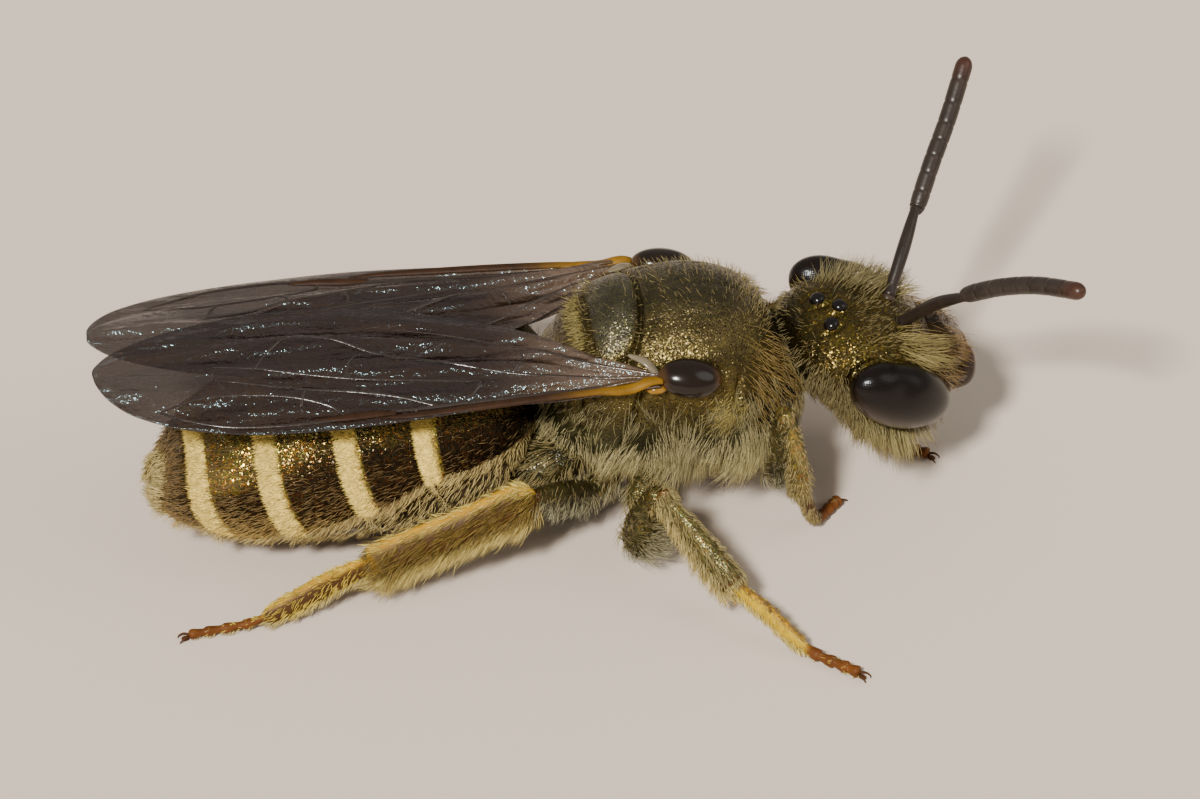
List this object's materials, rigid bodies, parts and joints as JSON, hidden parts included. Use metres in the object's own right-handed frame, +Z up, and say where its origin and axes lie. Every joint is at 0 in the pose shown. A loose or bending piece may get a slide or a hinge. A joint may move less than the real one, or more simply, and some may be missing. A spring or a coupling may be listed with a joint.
{
  "type": "bee",
  "caption": "Small standing bee with folded smoky wings, banded abdomen, raised head and spread feelers, for display.",
  "frame": {"origin": "middle of the bounding box's base, on the floor under the feet", "axes": "+X ahead of the bee, +Y to its left, +Z up"},
  "size_m": [0.0094, 0.0066, 0.0036],
  "materials": {
    "brassy_cuticle": "finely pitted brassy green cuticle under short straw hair",
    "banded_abdomen": "dark brown with a brassy sheen and pale felt bands",
    "eye": "glossy black-brown, finely faceted",
    "dark_horn": "satin dark brown",
    "wing": "smoky clear membrane with brown veins",
    "leg": "brassy dark brown with pale hair",
    "amber_leg": "amber with straw brushes of hair"
  },
  "bodies": {
    "root": {"abdomen_1": "banded_abdomen", "abdomen_2": "banded_abdomen", "abdomen_3": "banded_abdomen", "abdomen_4": "banded_abdomen", "abdomen_5": "banded_abdomen", "abdomen_6": "banded_abdomen", "antenna_left_flagellum": "dark_horn", "antenna_left_scape": "dark_horn", "antenna_right_flagellum": "dark_horn", "antenna_right_scape": "dark_horn", "eye_left": "eye", "eye_right": "eye", "forewing_left": "wing", "forewing_right": "wing", "head": "brassy_cuticle", "hindwing_left": "wing", "hindwing_right": "wing", "leg_front_left_coxa": "leg", "leg_front_left_femur": "leg", "leg_front_left_tarsus": "amber_leg", "leg_front_left_tibia": "amber_leg", "leg_front_right_coxa": "leg", "leg_front_right_femur": "leg", "leg_front_right_tarsus": "amber_leg", "leg_front_right_tibia": "amber_leg", "leg_hind_left_coxa": "leg", "leg_hind_left_femur": "leg", "leg_hind_left_tarsus": "amber_leg", "leg_hind_left_tibia": "amber_leg", "leg_hind_right_coxa": "leg", "leg_hind_right_femur": "leg", "leg_hind_right_tarsus": "amber_leg", "leg_hind_right_tibia": "amber_leg", "leg_mid_left_coxa": "leg", "leg_mid_left_femur": "leg", "leg_mid_left_tarsus": "amber_leg", "leg_mid_left_tibia": "amber_leg", "leg_mid_right_coxa": "leg", "leg_mid_right_femur": "leg", "leg_mid_right_tarsus": "amber_leg", "leg_mid_right_tibia": "amber_leg", "mandible_left": "dark_horn", "mandible_right": "dark_horn", "mesothorax": "brassy_cuticle", "neck": "dark_horn", "pronotum": "brassy_cuticle", "propodeum": "brassy_cuticle", "scutellum": "brassy_cuticle", "tegula_left": "dark_horn", "tegula_right": "dark_horn"}
  },
  "joints": []
}
